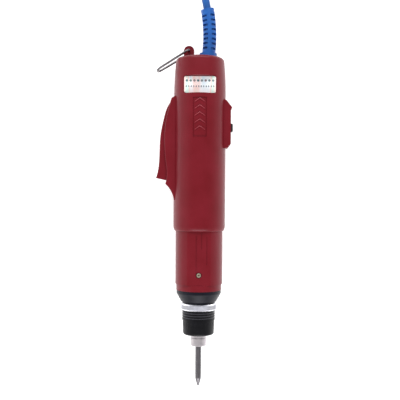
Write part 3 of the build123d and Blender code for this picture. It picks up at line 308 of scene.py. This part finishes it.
def labelVinyl(middle):
    # Pearl vinyl sticker, cast and printed: white and glossy, with pastel bands from its thin film.
    look = labelPrint
    material, tree, shader, place = newMaterial("labelVinyl", {"Roughness": 0.28, "IOR": 1.5,
                                                               "Coat Weight": 0.6, "Coat Roughness": 0.12})
    local = addNode(tree, "ShaderNodeMapping", {"Location": (0, -middle, 0)}, {"Vector": place})
    axes = addNode(tree, "ShaderNodeSeparateXYZ", links={"Vector": local.outputs["Vector"]}).outputs

    def calc(operation, *values):
        constants = {i: v for i, v in enumerate(values) if isinstance(v, (int, float))}
        wires = {i: v for i, v in enumerate(values) if not isinstance(v, (int, float))}
        return addNode(tree, "ShaderNodeMath", {"operation": operation, **constants}, wires).outputs[0]

    def offCentre(value, pitch):
        # distance from the middle of the nearest pitch; spare pitches keep the share above zero
        share = calc("FRACT", calc("ADD", calc("DIVIDE", value, pitch * mm), look["sparePitches"]))
        return calc("MULTIPLY", calc("SUBTRACT", share, 0.5), pitch * mm)

    inRow = calc("LESS_THAN", calc("ABSOLUTE", axes["X"]), look["rowHalf"] * mm)
    dotX = offCentre(axes["X"], look["dotPitch"])
    dotY = calc("SUBTRACT", axes["Y"], look["dotRow"] * mm)
    reach = calc("SQRT", calc("ADD", calc("MULTIPLY", dotX, dotX), calc("MULTIPLY", dotY, dotY)))
    dots = calc("MULTIPLY", calc("LESS_THAN", reach, look["dotRadius"] * mm), inRow)
    tickX = calc("ABSOLUTE", offCentre(axes["X"], look["tickPitch"]))
    tickY = calc("ABSOLUTE", calc("SUBTRACT", axes["Y"], look["tickRow"] * mm))
    ticks = calc("MULTIPLY", calc("LESS_THAN", tickX, look["tickHalfWidth"] * mm),
                 calc("LESS_THAN", tickY, look["tickHalfHeight"] * mm))
    ticks = calc("MULTIPLY", ticks, inRow)

    number = calc("FLOOR", calc("DIVIDE", axes["X"], look["dotPitch"] * mm))
    turn = calc("FRACT", calc("MULTIPLY", number, look["tintStep"]))
    dotStops = [(k / len(look["dotTints"]), tint) for k, tint in enumerate(look["dotTints"])]
    dotTint = setStops(addNode(tree, "ShaderNodeValToRGB", links={"Fac": turn}), dotStops, "CONSTANT")
    film = addNode(tree, "ShaderNodeTexNoise", {"Scale": perMetre(look["band"]), "Detail": 1.0},
                   {"Vector": stretched(tree, place, (1.0, 0.12, 0.1))}).outputs["Fac"]
    filmTint = setStops(addNode(tree, "ShaderNodeValToRGB", links={"Fac": film}), look["film"])
    withDots = addNode(tree, "ShaderNodeMix", {"data_type": "RGBA"}, {0: dots, 6: filmTint, 7: dotTint})
    tree.links.new(withDots.outputs[2], shader.inputs["Base Color"])
    paintOver(material, ticks, look["tickTint"])
    return material


# Mesh tools.

def startPiece(name):
    bpy.ops.object.select_all(action="DESELECT")
    piece = bpy.context.object
    piece.select_set(True)
    piece.name = name
    piece.data.name = name
    return piece


def finishPiece(piece, body, material, sharp=35):
    bpy.ops.object.select_all(action="DESELECT")
    piece.select_set(True)
    bpy.context.view_layer.objects.active = piece
    bpy.ops.object.transform_apply(location=True, rotation=True, scale=True)
    bpy.ops.object.shade_smooth_by_angle(angle=math.radians(sharp))
    piece.data.materials.clear()
    piece.data.materials.append(material)
    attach(piece, body)
    return piece


def selectVerts(piece, wanted):
    # in edit mode: selects the vertices for which wanted(place) holds
    bpy.ops.object.mode_set(mode="OBJECT")
    for edge in piece.data.edges:
        edge.select = False
    for face in piece.data.polygons:
        face.select = False
    for vertex in piece.data.vertices:
        vertex.select = wanted(vertex.co)
    bpy.ops.object.mode_set(mode="EDIT")
    bpy.ops.mesh.select_mode(type="VERT")


# Cord first: its free stretch, its coil and the run to the plug are one spline.
# A turn of the coil has perTurn control points and steps over to the next column in a share of a turn.

cordPlan = {
    "radius": 2.6, "roundness": 6, "exit": (4.68, 228.18, 0.0),
    "lead": ((1.76, 243.91, 0.0), (-2.84, 255.17, -4.0), (-8.50, 262.84, -10.05), (-13.81, 273.80, -14.35),
             (-17.91, 285.08, -14.35)),
    "centre": (7.2, 315.5), "columns": (34.0, 28.8, 23.6, 18.4), "layers": (-14.35, -9.15), "entry": 200.0,
    "tail": ((41.2, 300.0, -9.15), (41.2, 284.5, -9.15)),
    "perTurn": 24, "coilPoints": 182, "shift": 0.08,
}
# Where the coil steps over, in turns from its start, and the column and layer that it steps to.
coilSteps = (
    (0.00, 0, 0), (0.92, 1, 0), (1.92, 2, 0), (2.92, 3, 0), (3.80, 3, 1), (4.70, 2, 1), (5.70, 1, 1),
    (6.70, 0, 1),
)


def coilPlace(turn):
    plan = cordPlan
    radius, height = plan["columns"][0], plan["layers"][0]
    for start, column, layer in coilSteps:
        share = min(1.0, max(0.0, (turn - start) / plan["shift"]))
        share = share * share * (3 - 2 * share)
        radius += share * (plan["columns"][column] - radius)
        height += share * (plan["layers"][layer] - height)
    # a quadratic spline runs a little inside its control points
    radius /= (1 + math.cos(math.pi / plan["perTurn"])) / 2
    angle = math.radians(plan["entry"]) - 2 * math.pi * turn
    x, y = plan["centre"]
    return (x + radius * math.cos(angle), y + radius * math.sin(angle), height)


def layCord(material):
    plan = cordPlan
    turns = len(plan["columns"]) * len(plan["layers"]) - 1 + plan["entry"] / 360  # it leaves heading -Y
    coil = [coilPlace(turns * k / plan["coilPoints"]) for k in range(plan["coilPoints"] + 1)]
    route = [plan["exit"], *plan["lead"], *coil, *plan["tail"]]
    curve = bpy.data.curves.new("cordLine", "CURVE")
    curve.dimensions = "3D"
    curve.bevel_depth = plan["radius"] * mm
    curve.bevel_resolution = plan["roundness"]
    curve.resolution_u = plan["roundness"]
    curve.use_fill_caps = True
    spline = curve.splines.new("NURBS")
    spline.points.add(len(route) - 1)
    for point, place in zip(spline.points, route):
        point.co = (*[c * mm for c in place], 1.0)
    spline.order_u = 3
    spline.use_endpoint_u = True
    piece = bpy.data.objects.new("cordLine", curve)
    bpy.context.scene.collection.objects.link(piece)
    curve.materials.append(material)
    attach(piece, "housing")
    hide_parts("cord", "cord_coil")
    return piece


def splineLength(piece):
    # length of the spline itself, without its thickness
    line = piece.data.copy()
    line.bevel_depth = 0
    probe = bpy.data.objects.new("probe", line)
    mesh = bpy.data.meshes.new_from_object(probe)
    places = [v.co.copy() for v in mesh.vertices]
    bpy.data.objects.remove(probe)
    bpy.data.meshes.remove(mesh)
    return sum((b - a).length for a, b in zip(places, places[1:]))


# Lock ring with its fine straight knurl.

lockRing = {"teeth": 90, "outer": 12.0, "cut": 0.42, "edge": 0.7, "bore": 9.63, "boreReach": 0.4}


def makeLockRing(material):
    plan = lockRing
    low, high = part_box("lock_ring")
    length = high.y - low.y
    middle = (0, (low.y + high.y) / 2, 0)
    bpy.ops.object.select_all(action="DESELECT")
    bpy.ops.mesh.primitive_cylinder_add(
        vertices=2 * plan["teeth"], radius=plan["outer"] * mm, depth=length - 2 * plan["edge"] * mm,
        end_fill_type="NOTHING", location=middle, rotation=(math.pi / 2, 0, 0))
    piece = startPiece("lockRingKnurl")
    bpy.ops.object.transform_apply(location=True, rotation=True, scale=True)
    step = math.pi / plan["teeth"]
    selectVerts(piece, lambda co: round(math.atan2(co.z, co.x) / step) % 2 == 0)  # every second edge
    shrink = 1 - plan["cut"] / plan["outer"]
    bpy.ops.transform.resize(value=(shrink, 1, shrink), center_override=middle)
    for side in (-1, 1):
        rim = middle[1] + side * (length / 2 - plan["edge"] * mm)
        selectVerts(piece, lambda co: abs(co.y - rim) < hair)
        bpy.ops.mesh.select_mode(type="EDGE")
        bpy.ops.mesh.extrude_region_move(TRANSFORM_OT_translate={"value": (0, side * plan["edge"] * mm, 0)})
        taper = 1 - plan["edge"] / plan["outer"]
        bpy.ops.transform.resize(value=(taper, 1, taper), center_override=middle)
        bpy.ops.mesh.extrude_region_move(TRANSFORM_OT_translate={"value": (0, 0, 0)})
        bore = plan["bore"] / (plan["outer"] - plan["edge"])
        bpy.ops.transform.resize(value=(bore, 1, bore), center_override=middle)
    nearBore = (plan["bore"] + plan["boreReach"]) * mm
    selectVerts(piece, lambda co: math.hypot(co.x, co.z) < nearBore)
    bpy.ops.mesh.select_mode(type="EDGE")
    bpy.ops.mesh.bridge_edge_loops()
    bpy.ops.mesh.select_all(action="SELECT")
    bpy.ops.mesh.normals_make_consistent(inside=False)
    bpy.ops.object.mode_set(mode="OBJECT")
    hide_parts("lock_ring")
    return finishPiece(piece, "housing", material, sharp=20)


# Copies of the imported springs, each hung on the body named for it; nothing here makes them shorten.
# The table names the joint each follows; one end would stay at the place called fixed, and the other come
# nearer by travel.

yieldingSprings = {
    "sleeve_spring": {"joint": "bit_sleeve_slide", "body": "spindle",
                      "axis": "y", "fixed": 11.45, "travel": 1.8},
    "clutch_spring": {"joint": "clutch_trip", "body": "housing",
                      "axis": "y", "fixed": 11.1, "travel": 0.65},
    "lever_spring": {"joint": "trigger_pivot", "body": "housing",
                     "axis": "x", "fixed": -12.05, "travel": 1.75},
}


def makeYieldingSpring(name, material):
    plan = yieldingSprings[name]
    piece = nodes[name].copy()
    piece.data = nodes[name].data.copy()
    bpy.context.scene.collection.objects.link(piece)
    bpy.ops.object.select_all(action="DESELECT")
    bpy.context.view_layer.objects.active = piece
    piece = startPiece(name.split("_")[0] + "SpringCoil")
    bpy.ops.object.mode_set(mode="EDIT")
    bpy.ops.mesh.select_all(action="SELECT")
    bpy.ops.mesh.remove_doubles(threshold=hair)
    bpy.ops.object.mode_set(mode="OBJECT")
    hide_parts(name)
    finishPiece(piece, plan["body"], material)
    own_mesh(piece)
    return piece


# Plain raised chevrons in the front panel. Its floor is round, with this radius about the drive axis.

panelRelief = {"floor": 16.9, "half": 3.4, "width": 0.5, "rise": 0.51, "sink": 0.17, "drop": 2.3,
               "pitch": 4.6, "count": 5, "middle": 154.2, "edge": 0.12}


def makePanelRelief(material):
    plan = panelRelief
    parts = []
    for k in range(plan["count"]):
        y = plan["middle"] + plan["pitch"] * (k - (plan["count"] - 1) / 2)
        bpy.ops.object.select_all(action="DESELECT")
        bpy.ops.mesh.primitive_cube_add(
            size=1, location=(0, y * mm, (plan["floor"] + (plan["rise"] - plan["sink"]) / 2) * mm),
            scale=(2 * plan["half"] * mm, plan["width"] * mm, (plan["rise"] + plan["sink"]) * mm))
        piece = startPiece(f"chevron{k}")
        bpy.ops.object.transform_apply(location=True, rotation=True, scale=True)
        bpy.ops.object.mode_set(mode="EDIT")
        bpy.ops.mesh.select_all(action="SELECT")
        bpy.ops.mesh.bisect(plane_co=(0, 0, 0), plane_no=(1, 0, 0))
        selectVerts(piece, lambda co: abs(co.x) < hair)
        bpy.ops.transform.translate(value=(0, plan["drop"] * mm, 0))
        for share in (-0.5, 0.5):  # one more cut in each arm, so that it can follow the floor
            bpy.ops.mesh.select_all(action="SELECT")
            bpy.ops.mesh.bisect(plane_co=(share * plan["half"] * mm, 0, 0), plane_no=(1, 0, 0))
        bpy.ops.object.mode_set(mode="OBJECT")
        radius = plan["floor"] * mm
        for vertex in piece.data.vertices:
            vertex.co.z -= radius - math.sqrt(radius ** 2 - vertex.co.x ** 2)
        parts.append(piece)
    bpy.ops.object.select_all(action="DESELECT")
    for part in parts:
        part.select_set(True)
    bpy.context.view_layer.objects.active = parts[0]
    bpy.ops.object.join()
    piece = startPiece("panelRelief")
    soften = piece.modifiers.new("soften", "BEVEL")
    soften.width = plan["edge"] * mm
    soften.segments = 2
    bpy.ops.object.modifier_apply(modifier="soften")
    return finishPiece(piece, "housing", material)


# Build.

red = mouldedAbs("redAbs", tints=("#650E17", "#6D131E"), shine=0.22)
highlightRed = mouldedAbs("redAbsPaintedHighlight", tints=("#8E2C36", "#9A3640"), shine=0.5)  # painted highlight: paler than the body, standing in for the light the raised chevrons catch
black = anodised("blackAnodised", tints=("#0A0A0D", "#101014"))
paintGrooveHighlights(black)
slate = anodised("slateAnodised", tints=("#0E0E16", "#171721"))
nylon = glassNylon()
brightNickel = plated("brightNickel", tints=("#E8E8F0", "#F4F4FA"), roughness=(0.30, 0.42), ring=0.3)
satinNickel = plated("satinNickel", tints=("#B3ADB1", "#C3BDC0"), roughness=(0.40, 0.52), ring=0.35)
wireNickel = plated("wireNickel", tints=("#605D5F", "#716E70"), roughness=(0.25, 0.36), ring=0.4)
screwNickel = plated("screwNickel", tints=("#B5A590", "#CFC0AC"), roughness=(0.35, 0.5), ring=0.4)
paintScrewHeadShade(screwNickel)
darkSteel = toolSteel()
machined = innerFinish("machinedSteel")
springWire = innerFinish("springWire")
brass = innerFinish("turnedBrass")
castAluminium = innerFinish("castAluminium")
wound = innerFinish("woundRotor")
ferrite = innerFinish("sinteredFerrite")
laminate = boardLaminate()
bootPvc = softPvc("bootPvc", tints=("#0B4A96", "#155AA6"), roughness=(0.40, 0.50))
cordPvc = softPvc("cordPvc", tints=("#08468A", "#105298"), roughness=(0.38, 0.48))
vinyl = labelVinyl(sum(c.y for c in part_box("label")) / 2)
print("materials ready")

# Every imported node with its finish.
looks = {
    red: ("housing_front", "housing_back", "trigger_lever", "gear_sleeve", "sleeve_end_band"),
    nylon: ("reversing_knob", "start_switch", "start_button", "reversing_switch", "brake_switch",
            "motor_end_cap", "plug_body", "coil_tie"),
    black: ("torque_nut",),
    slate: ("nose_cone",),
    brightNickel: ("lock_ring", "plug_shell"),
    wireNickel: ("suspension_bail",),
    screwNickel: ("sleeve_screws",),
    satinNickel: ("bit_sleeve",),
    darkSteel: ("bit", "spindle", "housing_screws"),
    machined: ("lock_ball", "spring_seat", "thrust_washer", "clutch_balls", "brake_rod", "spindle_bearings",
               "ring_gear", "output_carrier", "input_carrier", "motor_can", "motor_shaft", "lever_pin",
               "ball_cage", *[f"{stage}_planet_{k}" for stage in ("output", "input") for k in (1, 2, 3)]),
    springWire: ("sleeve_spring", "clutch_spring", "lever_spring", "retaining_clip"),
    brass: ("motor_pinion", "motor_bushes", "motor_brushes", "plug_pins"),
    castAluminium: ("gear_case", "motor_mount"),
    wound: ("motor_rotor",),
    ferrite: ("motor_magnets",),
    laminate: ("circuit_board",),
    vinyl: ("label",),
    bootPvc: ("strain_relief",),
    cordPvc: ("cord", "cord_coil"),
}
for material, names in looks.items():
    for name in names:
        mesh = nodes[name].data
        mesh.materials.clear()
        mesh.materials.append(material)
        for face in mesh.polygons:
            face.material_index = 0
print("frame dressed:", sum(len(names) for names in looks.values()), "nodes")

cordLine = layCord(cordPvc)
cordLength = splineLength(cordLine)
print("cord laid, metres:", round(cordLength, 3))

makeLockRing(brightNickel)
makePanelRelief(highlightRed)
for name in yieldingSprings:
    makeYieldingSpring(name, springWire)
print("pieces made")

# Floor, light and camera. The floor's place is in millimetres, the rest of the room in metres.

studio = {"floor": -17.52, "floorSize": 6.0, "floorMiddle": 0.1, "glow": 0.4, "world": 1.1,
          "horizon": "#FFFFFF", "horizonAt": 0.15, "zenith": "#A6A6A6", "zenithAt": 0.7}

bpy.ops.object.select_all(action="DESELECT")
bpy.ops.mesh.primitive_plane_add(size=studio["floorSize"],
                                 location=(0, studio["floorMiddle"], studio["floor"] * mm))
floor = startPiece("tableTop")
# a light table: white paper over opal glass, lit a little from below, so hardly any shadow shows
paper, paperTree, paperShader, paperPlace = newMaterial("whitePaper", {
    "Roughness": 0.7, "Emission Color": hexToLinear("#FFFFFF"), "Emission Strength": studio["glow"]})
fibre = addNode(paperTree, "ShaderNodeTexNoise", {"Scale": perMetre(2.0), "Detail": 2.0},
                {"Vector": paperPlace})
tintBetween(paperTree, paperShader, fibre.outputs["Fac"], ("#F3F3F3", "#F8F8F8"))
floor.data.materials.append(paper)

world = bpy.data.worlds.new("studio")
bpy.context.scene.world = world
world.use_nodes = True
sky = world.node_tree
background = sky.nodes["Background"]
background.inputs["Strength"].default_value = studio["world"]
# the room is dim overhead, so what lies flat shows its own colour, and bright towards the walls
heading = addNode(sky, "ShaderNodeTexCoord").outputs["Generated"]
height = addNode(sky, "ShaderNodeSeparateXYZ", links={"Vector": heading}).outputs["Z"]
dim = addNode(sky, "ShaderNodeValToRGB", links={"Fac": height})
skyStops = ((studio["horizonAt"], studio["horizon"]), (studio["zenithAt"], studio["zenith"]))
sky.links.new(setStops(dim, skyStops), background.inputs["Color"])

# One large soft box past each end of the tool, and a weak one on its left.
softBoxes = {
    "noseEnd": {"place": (0, -0.75, 0.6), "width": 1.1, "height": 0.5, "power": 10.0},
    "cordEnd": {"place": (0, 0.95, 0.6), "width": 1.1, "height": 0.5, "power": 10.0},
    "leftSide": {"place": (-0.85, 0.09, 0.5), "width": 1.4, "height": 0.5, "power": 0.8},
}


def hangSoftBox(name, target):
    plan = softBoxes[name]
    bpy.ops.object.light_add(type="AREA", location=plan["place"])
    lamp = bpy.context.object
    lamp.name = name
    lamp.data.shape = "RECTANGLE"
    lamp.data.size = plan["width"]
    lamp.data.size_y = plan["height"]
    lamp.data.energy = plan["power"]
    lamp.rotation_euler = (target - Vector(plan["place"])).to_track_quat("-Z", "Y").to_euler()


toolMiddle = Vector((0, 0.09, 0))
for name in softBoxes:
    hangSoftBox(name, toolMiddle)

# The lens looks straight down from 470 mm above the drive axis and sees 0.68 mm in a pixel there.
viewPlan = {"distance": 470.0, "pixel": 0.68, "frame": 400, "centre": (0.5, 98.7), "roll": 0.39,
            "sensor": 36.0}
camera = bpy.data.cameras.new("camera")
cameraObject = bpy.data.objects.new("camera", camera)
bpy.context.scene.collection.objects.link(cameraObject)
camera.sensor_width = viewPlan["sensor"]
camera.lens = viewPlan["sensor"] * viewPlan["distance"] / (viewPlan["pixel"] * viewPlan["frame"])
cameraObject.location = [c * mm for c in (*viewPlan["centre"], viewPlan["distance"])]
cameraObject.rotation_euler = (0, 0, math.radians(viewPlan["roll"]))
bpy.context.scene.camera = cameraObject
bpy.context.scene.view_settings.view_transform = "Standard"
print("studio ready")
